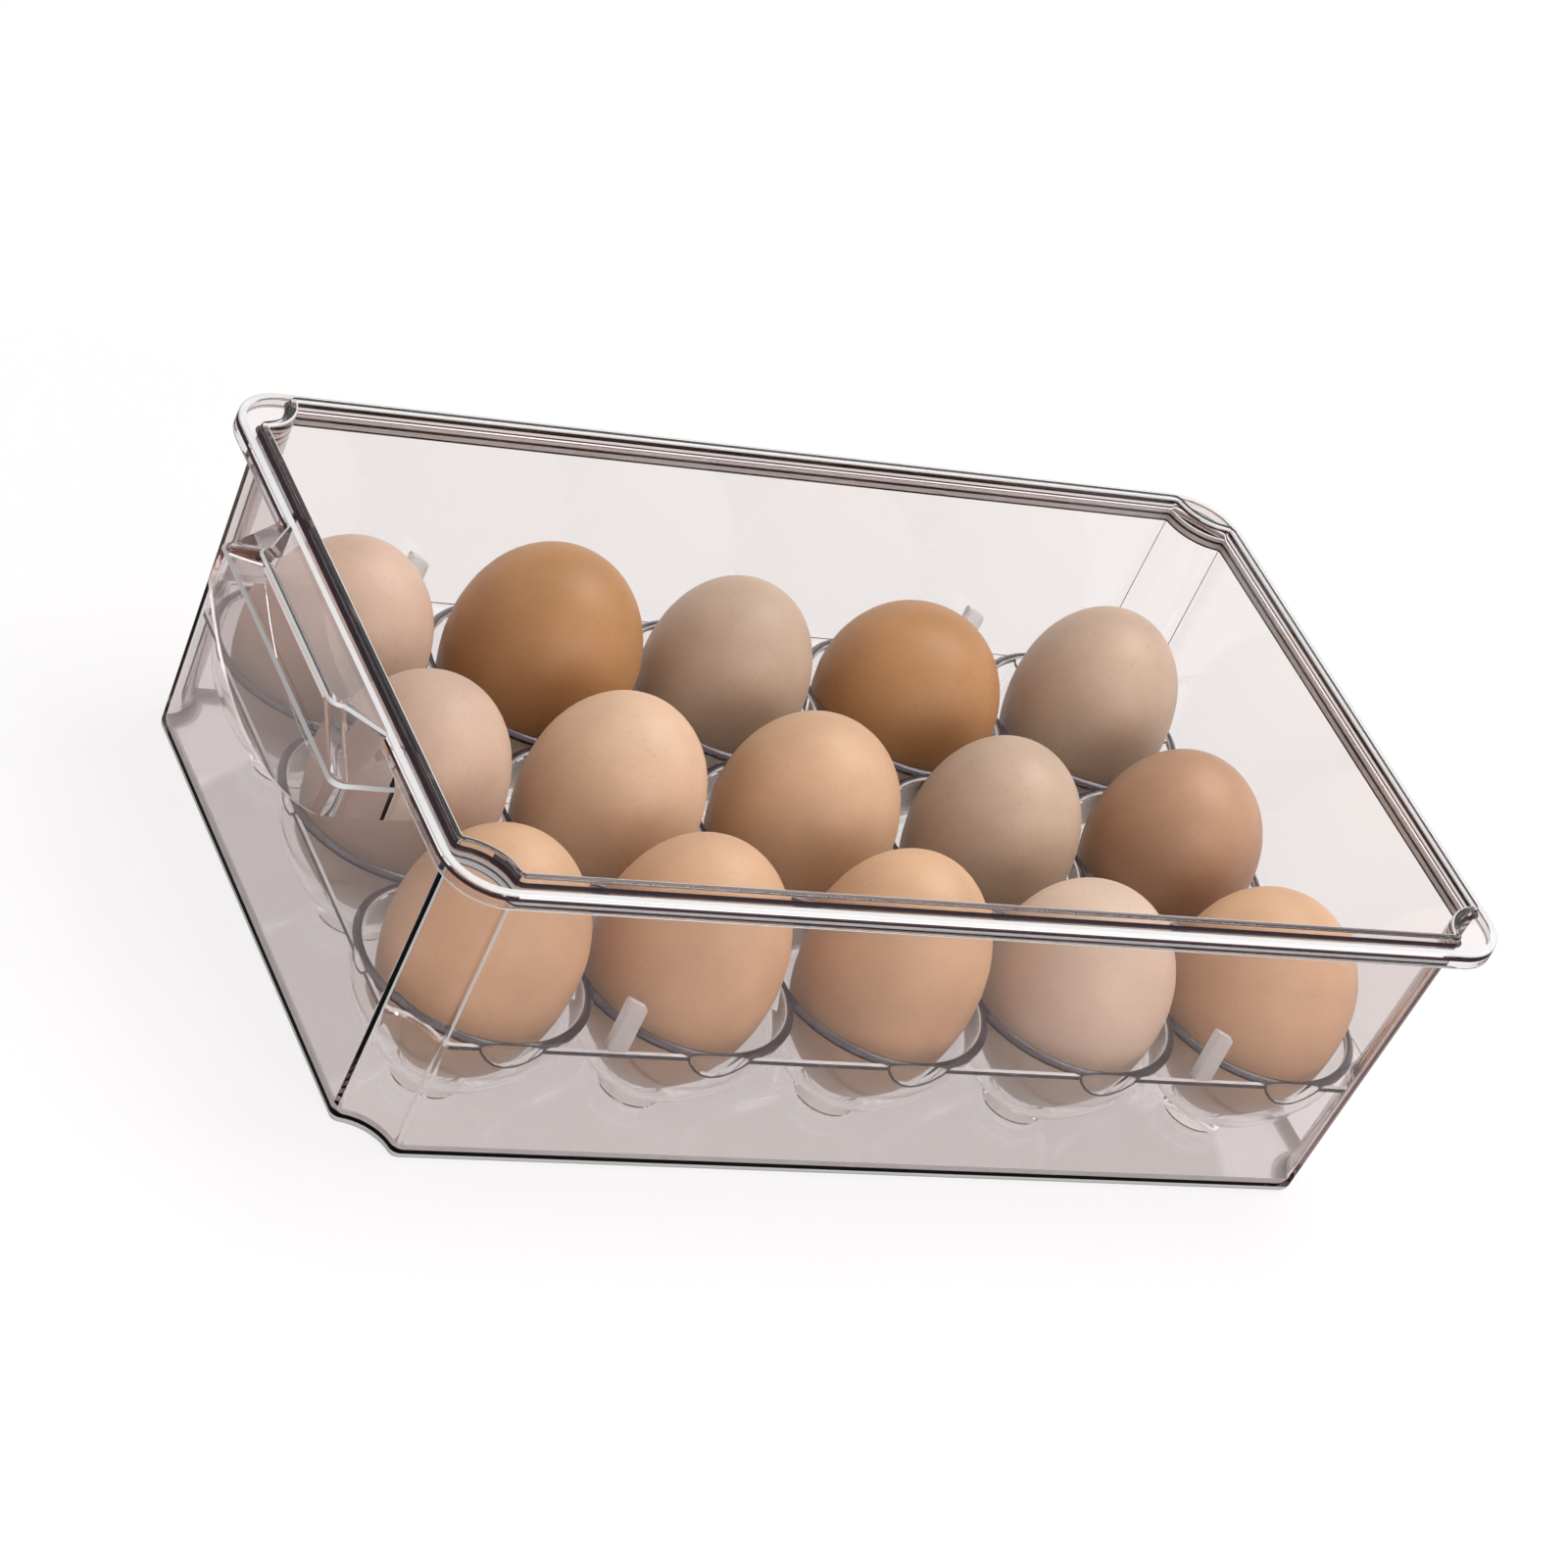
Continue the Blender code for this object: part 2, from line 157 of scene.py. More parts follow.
# Eggs: finish by its name in the record, then the shell's colour in the light
EGG_COLOURS = {
    "egg_peach": (0.64, 0.385, 0.23),
    "egg_cream": (0.68, 0.50, 0.38),
    "egg_rose": (0.54, 0.37, 0.28),
    "egg_tan": (0.64, 0.42, 0.28),
    "egg_orange": (0.56, 0.345, 0.21),
    "egg_brown": (0.41, 0.23, 0.14),
    "egg_grey": (0.48, 0.34, 0.25),
    "egg_ochre": (0.40, 0.195, 0.080),
}
TAPER = 0.08  # how much wider an egg's upper end is than its middle
BLUNT_POWER = 0.9  # under 1, its lower end is fuller than half an ellipsoid
EGG_LUMP = 0.20 * MM  # the shell's unevenness
LUMPS = 1.3  # scale of the noise that makes it
LUMP_SEED = 37.0
DARKER, PALER = 0.88, 1.06  # the mottled shell's two tones
SPECK = (0.72, 0.62, 0.52)
WHITE = (1.0, 1.0, 1.0)

# How finely round shapes are drawn
CUP_STEPS = 64
EGG_STEPS = 48
EGG_RINGS = 36
SCALLOP_STEPS = 14
HORN_STEPS = 6
TURN_STEPS = 6
BOW_STEPS = 32
ROUND_STEPS = 4
QUARTER = SCALLOP_STEPS + 2 * HORN_STEPS + 1  # points in a quarter of an outline
# faces at each corner of the wall that carry a line of painted highlight
CORNER_HIGHLIGHT_LINES = (HORN_STEPS // 2, HORN_STEPS + SCALLOP_STEPS + HORN_STEPS // 2)
SMOOTH_TO = math.radians(32.0)  # edges sharper than this stay sharp

# The table glows, less so in reflections, and more so on what it lights
TABLE_HALF = 3.0
TABLE_DROP = 0.3 * MM  # gap under the bin, so that the two don't touch
TABLE_GLOW = 0.78  # share of its look that is glow
TABLE_IN_REFLECTIONS = 0.10
TABLE_EXTRA_LIGHT = 0.55

# The sky's grey levels. A stop is the sine of the angle above the horizon, and the level.
SKY_LIGHT = ((0.0, 0.30), (0.6, 0.95))
SKY_IN_REFLECTIONS = ((0.0, 0.02), (0.30, 0.02), (0.40, 1.4), (0.62, 1.4), (0.72, 0.25), (0.9, 1.2))
SKY_THROUGH_PLASTIC = 2.6
SKY_SEEN = 1.3
SKY_STRENGTH = 0.7


# ---------------------------------------------------------------- outlines and meshes


def arc(centre, radius, start, end, steps):
    """Points from one angle to another, both ends included."""
    points = []
    for i in range(steps + 1):
        angle = start + (end - start) * i / steps
        points.append(
            (centre[0] + radius * math.cos(angle), centre[1] + radius * math.sin(angle))
        )
    return points


def mirrored(quarter):
    """A closed outline from its +X +Y quarter, which runs from the +X wall to the +Y wall."""
    outline = list(quarter)
    outline += [(-x, y) for x, y in reversed(quarter)]
    outline += [(-x, -y) for x, y in quarter]
    outline += [(x, -y) for x, y in reversed(quarter)]
    return outline


def rounded_outline(half, radius):
    """A rounded rectangle, with as many points as scalloped_outline gives."""
    centre = (half[0] - radius, half[1] - radius)
    return mirrored(arc(centre, radius, 0.0, math.pi / 2, SCALLOP_STEPS + 2 * HORN_STEPS))


def scalloped_outline(half, corner, notch, horn):
    """A rectangle with a round scallop, centred on corner, out of each of its corners."""
    reach = notch + horn
    low = (half[0] - horn, corner[1] - math.sqrt(reach**2 - (half[0] - horn - corner[0]) ** 2))
    high = (corner[0] - math.sqrt(reach**2 - (half[1] - horn - corner[1]) ** 2), half[1] - horn)
    low_turn = math.atan2(corner[1] - low[1], corner[0] - low[0])
    high_turn = math.atan2(corner[1] - high[1], corner[0] - high[0])
    quarter = arc(low, horn, 0.0, low_turn, HORN_STEPS)
    scallop = arc(corner, notch, low_turn - math.pi, high_turn - math.pi, SCALLOP_STEPS)
    quarter += scallop[1:-1]
    quarter += arc(high, horn, high_turn, math.pi / 2, HORN_STEPS)
    return mirrored(quarter)


def wall_half(z):
    """The bin's outer half sizes at a height."""
    return BASE_HALF.lerp(TOP_HALF, min(z / FLANGE_UNDER, 1.0))


def bin_outline(z, inset=0.0):
    """The bin's wall at a height, moved in from its outer surface."""
    corner = wall_half(z)
    half = corner - Vector((inset, inset))
    return scalloped_outline(half, corner, NOTCH + inset, max(HORN - inset, LEAST_HORN))


def stack(bm, rings):
    """Joins outlines of equal length and caps the first and the last.

    A ring is an outline, its height and, unless it is clear, the slot of the faces above it.
    """
    loops = [[bm.verts.new((x, y, ring[1])) for x, y in ring[0]] for ring in rings]
    count = len(loops[0])
    for ring, lower, upper in zip(rings, loops, loops[1:]):
        slot = ring[2] if len(ring) > 2 else CLEAR
        for i in range(count):
            j = (i + 1) % count
            face = bm.faces.new((lower[i], lower[j], upper[j], upper[i]))
            # at the wall's corners, lines of painted highlight
            if slot == WALL_CORNER_HIGHLIGHTS:
                face.material_index = PAINTED_HIGHLIGHT if i % QUARTER in CORNER_HIGHLIGHT_LINES else CLEAR
            else:
                face.material_index = slot
    bm.faces.new(loops[0])
    bm.faces.new(loops[-1])


def turned(bm, profile, steps, centre=(0.0, 0.0)):
    """Spins a profile of (radius, height) about Z. A radius of zero is one point."""
    rings = []
    for radius, z in profile:
        if radius == 0.0:
            rings.append([bm.verts.new((*centre, z))])
        else:
            circle = arc(centre, radius, 0.0, math.tau, steps)[:-1]
            rings.append([bm.verts.new((x, y, z)) for x, y in circle])
    for lower, upper in zip(rings, rings[1:]):
        if len(lower) == len(upper) == 1:
            continue
        for i in range(steps):
            j = (i + 1) % steps
            corners = [lower[i % len(lower)], lower[j % len(lower)]]
            corners += [upper[j % len(upper)], upper[i % len(upper)]]
            bm.faces.new(list(dict.fromkeys(corners)))


def finish(name, bm, materials=()):
    """Turns a bmesh into a linked object, with its faces pointing out."""
    bmesh.ops.recalc_face_normals(bm, faces=bm.faces)
    mesh = bpy.data.meshes.new(name)
    bm.to_mesh(mesh)
    bm.free()
    for material in materials:
        mesh.materials.append(material)
    obj = bpy.data.objects.new(name, mesh)
    bpy.context.scene.collection.objects.link(obj)
    return obj


def combine(obj, tool, operation, itself=False):
    """Joins tool to obj, cuts it out of obj or keeps what both share, and removes tool."""
    change = obj.modifiers.new("combine", "BOOLEAN")
    change.operation = operation
    change.object = tool
    change.use_self = itself
    bake(obj)
    bpy.data.objects.remove(tool, do_unlink=True)


def bake(obj):
    """Replaces an object's mesh by what its modifiers make of it."""
    graph = bpy.context.evaluated_depsgraph_get()
    mesh = bpy.data.meshes.new_from_object(obj.evaluated_get(graph))
    obj.modifiers.clear()
    obj.data = mesh


def smooth(obj):
    """Shades smooth, keeps sharp edges, and lets flat faces stay flat."""
    obj.data.shade_smooth()
    obj.data.set_sharp_from_angle(angle=SMOOTH_TO)
    weigh = obj.modifiers.new("weighted", "WEIGHTED_NORMAL")
    weigh.keep_sharp = True


# ---------------------------------------------------------------- bin with its handle


def round_over(outline_at, inset, z, radius, start, end, slot=CLEAR, after=CLEAR):
    """Rings round a quarter turn of the section. Angle 0 points out of the bin.

    slot is of the faces round the turn, and after is of those that follow it.
    """
    rings = []
    for x, y in arc((0.0, 0.0), radius, start, end, ROUND_STEPS):
        rings.append((outline_at(z + y, inset - x), z + y, slot))
    rings[-1] = (*rings[-1][:2], after)
    return rings


def bin_rings():
    """The bin from the middle of its underside, up the outside, over the rim and down inside."""
    up, out, down, inward = math.pi / 2, 0.0, -math.pi / 2, math.pi

    def flange(z, inset):
        half = FLANGE_HALF - Vector((inset, inset))
        return rounded_outline(half, FLANGE_CORNER - inset)

    def wall_ring(z, slot=CLEAR, inset=0.0):
        return (bin_outline(z, inset), z, slot)

    def flange_ring(z, slot=CLEAR, inset=0.0):
        return (flange(z, inset), z, slot)

    # the base's rounding, the rim's edges and the bands on wall and skirt carry painted highlight
    # and painted shade
    rings = round_over(bin_outline, FILLET, FILLET, FILLET, down, out, PAINTED_HIGHLIGHT)
    lines = (WALL_CORNER_HIGHLIGHTS, PAINTED_SHADE, PAINTED_HIGHLIGHT, PAINTED_SHADE, PAINTED_HIGHLIGHT, CLEAR)
    rings += [wall_ring(z, slot) for z, slot in zip((PLATE_TOP, *WALL_PAINTED_LINES), lines)]
    rings += [wall_ring(FLANGE_UNDER), flange_ring(FLANGE_UNDER, CLEAR, SKIRT)]
    rings += round_over(flange, SKIRT - SOFT, SKIRT_BOTTOM + SOFT, SOFT, inward, down + math.tau)
    rings += round_over(flange, SOFT, SKIRT_BOTTOM + SOFT, SOFT, down, out, PAINTED_HIGHLIGHT)
    rings += [flange_ring(SKIRT_SHADE_BAND[0], PAINTED_SHADE), flange_ring(SKIRT_SHADE_BAND[1])]
    rings += round_over(flange, SOFT, FLANGE_TOP - SOFT, SOFT, out, up, PAINTED_HIGHLIGHT, PAINTED_HIGHLIGHT)
    rings += [flange_ring(FLANGE_TOP, CLEAR, FLANGE_HIGHLIGHT)]
    rings += [wall_ring(FLANGE_TOP, PAINTED_SHADE, -RIDGE_FOOT), wall_ring(FLANGE_TOP, PAINTED_SHADE)]
    rings += [wall_ring(RIDGE_SHADE_TOP)]
    rings += round_over(bin_outline, SOFT, RIDGE_TOP - SOFT, SOFT, out, up)
    rings += round_over(bin_outline, WALL - SOFT, RIDGE_TOP - SOFT, SOFT, up, inward, PAINTED_HIGHLIGHT)
    turn = WALL + FILLET
    rings += round_over(bin_outline, turn, turn, FILLET, out, down, PAINTED_HIGHLIGHT)
    return rings


def bin_slot(face):
    """The slot of one of the bin's faces, after its handle has been joined to it."""
    place, turn = face.center, face.normal
    if place.x < -FLANGE_HALF.x - TINY:
        return handle_slot(place, turn)
    outward = turn.x * place.x > 0.0
    # the ridge's outward ends above its foot get painted shade
    if abs(turn.x) > MOSTLY and outward and place.z > RIDGE_SHADE_TOP:
        return PAINTED_SHADE
    return face.material_index


def handle_outline(reach, width, root, root_width, inset):
    """The handle seen from above, from its root to its outer edge, with rounded corners."""
    half = width - inset
    outer = reach + inset
    turn = PULL_TURN
    corner = arc((outer + turn, half - turn), turn, math.pi, math.pi / 2, TURN_STEPS)
    quarter = corner + [(root, root_width - inset)]
    return quarter + [(x, -y) for x, y in reversed(quarter)]


def handle_slot(place, turn):
    """The slot of one of the pull handle's faces."""
    # painted highlight under the apron, along its crease and round its top's chamfer; painted shade
    # at the top of its ends
    if turn.z < -HALF and place.z < PULL_CREASE - PULL_WALL - PULL_STEP:
        return PAINTED_HIGHLIGHT
    if abs(place.z - PULL_CREASE) < PULL_STEP and turn.x < PARTLY:
        return PAINTED_HIGHLIGHT
    if FLANGE_TOP - PULL_EDGE < place.z < FLANGE_TOP - 2 * TINY and turn.z > -PARTLY:
        return PAINTED_HIGHLIGHT
    if place.z > FLANGE_TOP - PULL_SHADE_LINE and abs(turn.y) > HALF:
        return PAINTED_SHADE
    return CLEAR


def give_materials(obj, materials):
    """Replaces an object's materials."""
    obj.data.materials.clear()
    for material in materials:
        obj.data.materials.append(material)


def give_slots(obj, choose):
    """Says which of its materials each face of an object has."""
    for face in obj.data.polygons:
        face.material_index = choose(face)


def handle_solid(inset, bottom, top, root_low, root_high):
    """The handle's outer surface, or its inner one where inset is its wall."""
    foot = handle_outline(PULL_REACH, PULL_FOOT, root_low, PULL_FOOT, inset)
    crease = handle_outline(PULL_REACH, PULL_FOOT, root_high, PULL_FOOT, inset)
    step = handle_outline(
        PULL_REACH + PULL_STEP, PULL_FOOT - PULL_STEP, root_high, PULL_FOOT - PULL_STEP, inset
    )
    flat = handle_outline(PULL_TOP_REACH, PULL_TOP, root_high, PULL_ROOT, inset)
    chamfer = handle_outline(PULL_TOP_REACH, PULL_TOP, root_high, PULL_ROOT, inset + PULL_EDGE)
    bm = bmesh.new()
    level = PULL_CREASE - inset / 2
    stack(
        bm,
        [
            (foot, bottom),
            (crease, level - PULL_STEP),
            (step, level + PULL_STEP / 2),
            (flat, top - PULL_EDGE),
            (chamfer, top),
        ],
    )
    return bm


def bow_tool():
    """What lies under the apron's lower edge, which is lowest in the middle."""
    outline = []
    for i in range(BOW_STEPS + 1):
        share = 2.0 * i / BOW_STEPS - 1.0
        outline.append((share * BOW_HALF, PULL_BOTTOM + BOW_RISE * share**2))
    below = PULL_BOTTOM - 3 * SPARE
    outline += [(BOW_HALF, below), (-BOW_HALF, below)]
    bm = bmesh.new()
    loops = []
    for x in (PULL_REACH - 2 * SPARE, PULL_START + BOW_PAST_ROOT):
        loops.append([bm.verts.new((x, y, z)) for y, z in outline])
    count = len(outline)
    for i in range(count):
        j = (i + 1) % count
        bm.faces.new((loops[0][i], loops[0][j], loops[1][j], loops[1][i]))
    bm.faces.new(loops[0])
    bm.faces.new(loops[1])
    return finish("bow", bm)


def make_bin(materials):
    """The bin and its handle: the shell, then the solid handle, then the hollow under it."""
    bm = bmesh.new()
    stack(bm, bin_rings())
    shell = finish("bin_moulding", bm, materials)

    low = PULL_BOTTOM - SPARE
    handle = handle_solid(0.0, low, FLANGE_TOP - TINY, PULL_START, PULL_START)
    handle = finish("handle", handle, materials)
    combine(handle, bow_tool(), "DIFFERENCE")
    combine(shell, handle, "UNION")
    deep = low - SPARE
    hollow = handle_solid(
        PULL_WALL, deep, FLANGE_UNDER, -wall_half(deep).x - TINY, -wall_half(FLANGE_UNDER).x - TINY
    )
    combine(shell, finish("hollow", hollow, materials), "DIFFERENCE")
    give_slots(shell, bin_slot)
    smooth(shell)
    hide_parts("bin", "pull_handle")
    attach(shell, "bin_body")


# ---------------------------------------------------------------- tray


def cup_nodes():
    """The CAD names of the fifteen cups."""
    return [f"egg_cup_{row}_{column}" for row in ROWS for column in COLUMNS]


def centre_of(node):
    """The middle of a CAD node's box."""
    low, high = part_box(node)
    return (low + high) / 2


def tray_outline(inset):
    """The tray's edge, which follows the bin's wall inside it."""
    half = Vector((PLATE_HIGH.x - inset, PLATE_HIGH.y - inset))
    corner = wall_half(PLATE_TOP)
    room = corner.x - half.x
    return scalloped_outline(half, corner, NOTCH + room, TRAY_HORN)


def all_cups(name, profile):
    """The same turned solid at every cup."""
    bm = bmesh.new()
    for node in cup_nodes():
        centre = centre_of(node)
        turned(bm, [(r * MM, z * MM) for r, z in profile], CUP_STEPS, centre.xy)
    return finish(name, bm)


def prism(name, outline, low, high):
    """An upright solid with one outline all the way."""
    bm = bmesh.new()
    stack(bm, [(outline, low), (outline, high)])
    return finish(name, bm)


def make_tabs():
    """The four upright fins, each with a slanted top."""
    bm = bmesh.new()
    for tab in TABS:
        low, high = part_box("lift_tab_" + tab)
        bottom = low.z - TAB_SUNK
        corners = [(low.x, bottom), (high.x, bottom), (high.x, high.z - TAB_SLANT), (low.x, high.z)]
        loops = [[bm.verts.new((x, y, z)) for x, z in corners] for y in (low.y, high.y)]
        for i in range(4):
            j = (i + 1) % 4
            bm.faces.new((loops[0][i], loops[0][j], loops[1][j], loops[1][i]))
        for loop in loops:
            bm.faces.new(loop)
    bmesh.ops.bevel(bm, geom=list(bm.edges), offset=TAB_EDGE, segments=2, affect="EDGES")
    return finish("tabs", bm)


def plate_blank():
    """The plate before its cups, with a chamfer round its top."""
    bm = bmesh.new()
    inner, edge = tray_outline(PLATE_EDGE), tray_outline(0.0)
    stack(bm, [(edge, PLATE_LOW.z), (edge, PLATE_TOP - PLATE_EDGE), (inner, PLATE_TOP)])
    return finish("tray_moulding", bm)


def nearest_cup(place, centres):
    """How far a place is from the middle of the nearest cup."""
    return min((place.xy - centre).length for centre in centres)


def tray_slot(face, centres):
    """The slot of one of the tray's faces."""
    place, turn = face.center, face.normal
    if place.z > TAB_FOOT:
        return FROSTED
    reach = nearest_cup(place, centres)
    on_edge = abs(turn.z) < BARELY and max(
        abs(place.x) - PLATE_HIGH.x, abs(place.y) - PLATE_HIGH.y
    ) > -TINY
    # painted shade on the plate's edge and the cups' rims; painted highlight on the plate's chamfer
    # and inside each rim
    if on_edge and place.z > PLATE_LOW.z:
        return PAINTED_SHADE
    if place.z > PLATE_TOP - PLATE_EDGE - TINY and BARELY < turn.z < NEARLY_ALL and reach > BEAD_OUT:
        return PAINTED_HIGHLIGHT
    if BEAD_IN < reach < BEAD_OUT and place.z > PLATE_TOP + TINY:
        return PAINTED_SHADE
    if reach < BEAD_IN and place.z > PLATE_TOP - CUP_PAINTED_HIGHLIGHT:
        return PAINTED_HIGHLIGHT
    return CLEAR


def line_facets(tray):
    """Draws a line of painted shade round each flat facet where the tray's edge cuts a cup."""
    bm = bmesh.new()
    bm.from_mesh(tray.data)
    facets = []
    for face in bm.faces:
        place = face.calc_center_median()
        gap = min(PLATE_HIGH.x - abs(place.x), PLATE_HIGH.y - abs(place.y))
        lowest = min(vert.co.z for vert in face.verts)
        if lowest < PLATE_LOW.z - TINY and gap < TINY and abs(face.normal.z) < BARELY:
            face.material_index = CLEAR
            facets.append(face)
    drawn = bmesh.ops.inset_region(
        bm, faces=facets, thickness=FACET_SHADE_LINE, use_boundary=True, use_even_offset=True
    )
    for face in drawn["faces"]:
        # the inset ring is painted shade
        face.material_index = PAINTED_SHADE
    bm.to_mesh(tray.data)
    bm.free()


def make_tray(materials):
    """The tray: its plate and cups, cut to its edge, hollowed, and given its tabs."""
    tray = plate_blank()
    outer = all_cups("outer", CUP_OUTER + BEAD + ((0.0, BEAD[-1][1]),))
    combine(tray, outer, "UNION", itself=True)
    combine(tray, prism("edge", tray_outline(0.0), 0.0, PLATE_TOP + SPARE), "INTERSECT")
    inner = all_cups("inner", CUP_INNER + ((CUP_INNER[-1][0], CUP_ABOVE), (0.0, CUP_ABOVE)))
    facets = prism("facets", tray_outline(TRAY_WALL), 0.0, CUP_ABOVE * MM + SPARE)
    combine(inner, facets, "INTERSECT")
    combine(tray, inner, "DIFFERENCE")
    combine(tray, make_tabs(), "UNION", itself=True)
    centres = [centre_of(node).xy for node in cup_nodes()]
    give_materials(tray, materials)
    give_slots(tray, lambda face: tray_slot(face, centres))
    line_facets(tray)
    smooth(tray)
    tabs = ["lift_tab_" + tab for tab in TABS]
    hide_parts("tray_plate", *cup_nodes(), *tabs)
    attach(tray, "tray")


# ---------------------------------------------------------------- eggs


def egg_finish(node):
    """The record's material slot of a CAD node."""
    for part in frame["record"]["subparts"]:
        if part["node"] == node:
            return part["material_slot"]
    raise KeyError(node)


def egg_points(width, length):
    """Half of an egg's outline, from its pointed bottom to its blunt top."""
    points = []
    for i in range(EGG_RINGS + 1):
        angle = math.pi * i / EGG_RINGS
        z = -math.cos(angle)
        fullness = BLUNT_POWER if z < 0.0 else 1.0
        radius = math.sin(angle) ** fullness * (1.0 + TAPER * z)
        points.append((radius if 0 < i < EGG_RINGS else 0.0, z * length / 2))
    widest = max(radius for radius, _ in points)
    return [(radius / widest * width / 2, z) for radius, z in points]


def make_egg(name, materials):
    """An upright egg that fills its CAD node's box, a little uneven."""
    low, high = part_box(name)
    size = high - low
    centre = centre_of(name)
    seed = centre * LUMP_SEED
    bm = bmesh.new()
    turned(bm, egg_points(size.x - EGG_LUMP, size.z - EGG_LUMP), EGG_STEPS)
    for vert in bm.verts:
        away = vert.co.normalized()
        vert.co += away * noise.noise(away * LUMPS + seed) * EGG_LUMP
        vert.co += centre
    shell = egg_finish(name)
    egg = finish(name + "_shell", bm, [materials[shell]])
    egg.data.shade_smooth()
    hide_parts(name)
    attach(egg, name + "_body")


# ---------------------------------------------------------------- materials


def new_material(name):
    """A material, its nodes, its links and its shader."""
    material = bpy.data.materials.new(name)
    material.use_nodes = True
    nodes = material.node_tree.nodes
    return material, nodes, material.node_tree.links, nodes["Principled BSDF"]


def set_inputs(node, values):
    """Sets some of a node's inputs by name."""
    for socket, value in values.items():
        node.inputs[socket].default_value = value


def add_node(nodes, kind, values=None, **settings):
    """A new shader node with its settings and the values of some of its inputs."""
    node = nodes.new("ShaderNode" + kind)
    for setting, value in settings.items():
        setattr(node, setting, value)
    set_inputs(node, values or {})
    return node


def ramp_node(nodes, stops):
    """A colour ramp of (position, colour) stops."""
    ramp = add_node(nodes, "ValToRGB")
    elements = ramp.color_ramp.elements
    while len(elements) < len(stops):
        elements.new(0.5)
    for element, (position, colour) in zip(elements, stops):
        element.position = position
        element.color = (*colour, 1.0)
    return ramp


def clear_plastic(name, colour, roughness, clearness, density):
    """Clear PET: a faint warm grey in its depth, and the slight waves of a moulding. Its colour
    gives the plain plastic, painted shade, painted highlight or the frosted finish.
    """
    material, nodes, links, shader = new_material(name)
    looks = {"Base Color": (*colour, 1.0), "Roughness": roughness}
    set_inputs(shader, looks | {"Transmission Weight": clearness, "IOR": PLASTIC_INDEX})
    depth = add_node(nodes, "VolumeAbsorption", {"Color": (*SMOKE, 1.0), "Density": density})
    place = add_node(nodes, "TexCoord")
    waves = add_node(nodes, "TexNoise", {"Scale": 28.0, "Detail": 1.0})
    bump = add_node(nodes, "Bump", {"Strength": 0.10, "Distance": 0.4 * MM})
    links.new(depth.outputs["Volume"], nodes["Material Output"].inputs["Volume"])
    links.new(place.outputs["Object"], waves.inputs["Vector"])
    links.new(waves.outputs["Fac"], bump.inputs["Height"])
    links.new(bump.outputs["Normal"], shader.inputs["Normal"])
    return material


def plastics(name, density):
    """A moulding's clear plastic, its faces of painted shade and of painted highlight, and its
    frosted faces.
    """
    return [clear_plastic(name + ending, *looks, density) for ending, *looks in PLASTICS]


def eggshell(name, colour):
    """A hen's eggshell: mottled colour, fine darker specks, and pores."""
    material, nodes, links, shader = new_material(name)
    set_inputs(shader, {"Roughness": 0.48, "Specular IOR Level": 0.35})
    place = add_node(nodes, "TexCoord")

    mottle = add_node(nodes, "TexNoise", {"Scale": 55.0, "Detail": 4.0})
    links.new(place.outputs["Object"], mottle.inputs["Vector"])
    dark = [part * DARKER for part in colour]
    pale = [min(part * PALER, 1.0) for part in colour]
    tone = ramp_node(nodes, ((0.30, dark), (0.70, pale)))
    links.new(mottle.outputs["Fac"], tone.inputs["Fac"])

    speck = add_node(nodes, "TexNoise", {"Scale": 900.0, "Detail": 2.0})
    links.new(place.outputs["Object"], speck.inputs["Vector"])
    dots = ramp_node(nodes, ((0.24, SPECK), (0.40, WHITE)))
    links.new(speck.outputs["Fac"], dots.inputs["Fac"])
    mix = add_node(nodes, "Mix", {"Factor": 0.30}, data_type="RGBA", blend_type="MULTIPLY")
    links.new(tone.outputs["Color"], mix.inputs["A"])
    links.new(dots.outputs["Color"], mix.inputs["B"])
    links.new(mix.outputs["Result"], shader.inputs["Base Color"])

    bump = add_node(nodes, "Bump", {"Strength": 0.25, "Distance": 0.1 * MM})
    links.new(speck.outputs["Fac"], bump.inputs["Height"])
    links.new(bump.outputs["Normal"], shader.inputs["Normal"])
    return material


# ---------------------------------------------------------------- stage


def make_floor():
    """The pale table, part paint and part glow."""
    bm = bmesh.new()
    bmesh.ops.create_grid(bm, x_segments=1, y_segments=1, size=TABLE_HALF)
    material, nodes, links, shader = new_material("pale_floor")
    floor = finish("floor", bm, [material])
    floor.location.z = -TABLE_DROP
    paint = {"Base Color": (0.88, 0.88, 0.88, 1.0), "Roughness": 0.7}
    set_inputs(shader, paint | {"Specular IOR Level": 0.2})
    glow = add_node(nodes, "Emission", {"Color": (1.0, 0.985, 0.98, 1.0)})

    path = add_node(nodes, "LightPath")
    dim = add_node(nodes, "MapRange", {"To Min": 1.0, "To Max": TABLE_IN_REFLECTIONS})
    links.new(path.outputs["Is Reflection Ray"], dim.inputs["Value"])
    power = add_node(nodes, "Math", {1: TABLE_EXTRA_LIGHT}, operation="MULTIPLY_ADD")
    links.new(path.outputs["Is Diffuse Ray"], power.inputs[0])
    links.new(dim.outputs["Result"], power.inputs[2])
    links.new(power.outputs["Value"], glow.inputs["Strength"])

    share = add_node(nodes, "MapRange", {"To Min": TABLE_GLOW, "To Max": 1.0})
    mix = add_node(nodes, "MixShader")
    links.new(path.outputs["Is Reflection Ray"], share.inputs["Value"])
    links.new(share.outputs["Result"], mix.inputs["Fac"])
    links.new(shader.outputs["BSDF"], mix.inputs[1])
    links.new(glow.outputs["Emission"], mix.inputs[2])
    links.new(mix.outputs["Shader"], nodes["Material Output"].inputs["Surface"])


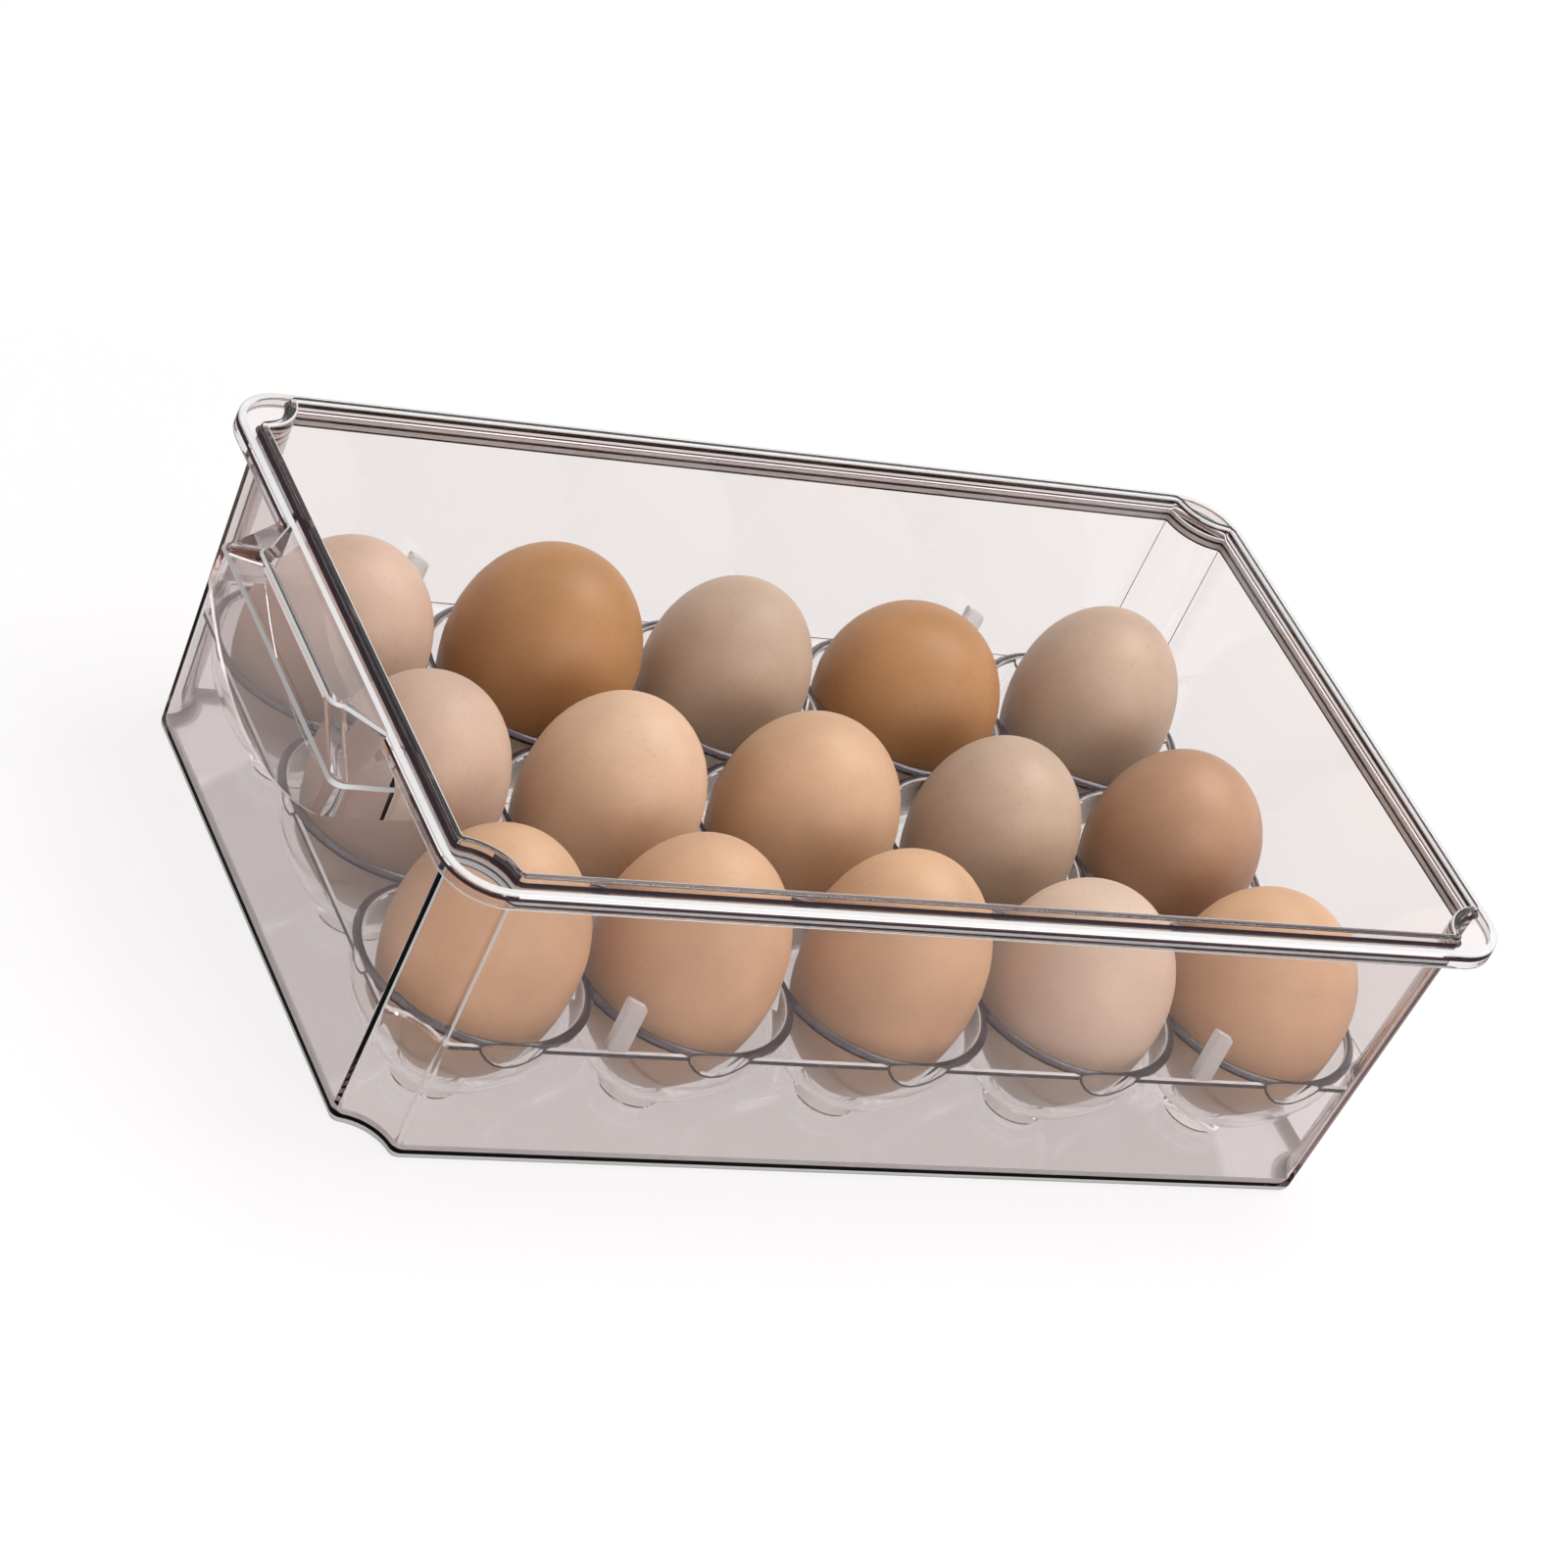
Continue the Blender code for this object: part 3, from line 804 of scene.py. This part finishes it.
def make_camera():
    """From the front and the handle's end, above the rim, rolled to the left."""
    place = Vector((-701.9, -911.8, 778.7)) * MM
    azimuth, elevation, roll = (math.radians(a) for a in (37.19, 32.44, -26.56))
    data = bpy.data.cameras.new("camera")
    data.sensor_width = 36.0
    data.lens = 132.5
    data.clip_start = 0.05
    camera = bpy.data.objects.new("camera", data)
    turn = Matrix.Rotation(-azimuth, 4, "Z") @ Matrix.Rotation(math.pi / 2 - elevation, 4, "X")
    camera.matrix_world = Matrix.Translation(place) @ turn @ Matrix.Rotation(-roll, 4, "Z")
    bpy.context.scene.collection.objects.link(camera)
    bpy.context.scene.camera = camera


def make_softbox(name, place, aim, size, watts):
    """A rectangular lamp that looks from one place at another."""
    data = bpy.data.lights.new(name, "AREA")
    data.shape = "RECTANGLE"
    data.size, data.size_y = size
    data.energy = watts
    light = bpy.data.objects.new(name, data)
    direction = Vector(aim) - Vector(place)
    turn = direction.to_track_quat("-Z", "Y").to_matrix().to_4x4()
    light.matrix_world = Matrix.Translation(place) @ turn
    bpy.context.scene.collection.objects.link(light)


def make_world():
    """A pale studio. What is seen in reflections, through plastic and directly each differs."""
    world = bpy.data.worlds.new("studio")
    world.use_nodes = True
    nodes, links = world.node_tree.nodes, world.node_tree.links
    place = add_node(nodes, "TexCoord")
    split = add_node(nodes, "SeparateXYZ")
    links.new(place.outputs["Generated"], split.inputs["Vector"])
    skies = []
    for stops in (SKY_LIGHT, SKY_IN_REFLECTIONS):
        sky = ramp_node(nodes, [(sine, (level,) * 3) for sine, level in stops])
        links.new(split.outputs["Z"], sky.inputs["Fac"])
        skies.append(sky.outputs["Color"])
    soft, bands = skies

    path = add_node(nodes, "LightPath")
    through = {"A": (*[SKY_THROUGH_PLASTIC] * 3, 1.0)}
    gloss = add_node(nodes, "Mix", through, data_type="RGBA")
    links.new(path.outputs["Is Reflection Ray"], gloss.inputs["Factor"])
    links.new(bands, gloss.inputs["B"])
    light = add_node(nodes, "Mix", data_type="RGBA")
    links.new(path.outputs["Is Diffuse Ray"], light.inputs["Factor"])
    links.new(gloss.outputs["Result"], light.inputs["A"])
    links.new(soft, light.inputs["B"])
    pale = add_node(nodes, "Mix", {"B": (*[SKY_SEEN] * 3, 1.0)}, data_type="RGBA")
    links.new(path.outputs["Is Camera Ray"], pale.inputs["Factor"])
    links.new(light.outputs["Result"], pale.inputs["A"])
    links.new(pale.outputs["Result"], nodes["Background"].inputs["Color"])
    set_inputs(nodes["Background"], {"Strength": SKY_STRENGTH})
    bpy.context.scene.world = world


def main():
    make_bin(plastics("clear_bin", BIN_DENSITY))
    make_tray(plastics("clear_tray", TRAY_DENSITY))
    shells = {name: eggshell(name, colour) for name, colour in EGG_COLOURS.items()}
    for row in ROWS:
        for column in COLUMNS:
            make_egg(f"egg_{row}_{column}", shells)
    make_floor()
    make_world()
    make_softbox("overhead", (0.5, 0.1, 1.4), (0.0, 0.0, 0.0), size=(1.0, 0.8), watts=14.0)
    make_softbox("front", (0.1, -1.3, 0.7), (0.0, 0.0, 0.04), size=(1.2, 0.5), watts=8.0)
    make_camera()
    scene = bpy.context.scene
    scene.view_settings.view_transform = "Standard"
    scene.cycles.max_bounces = 40
    scene.cycles.transmission_bounces = 36
    scene.cycles.glossy_bounces = 12
    scene.cycles.diffuse_bounces = 6


main()
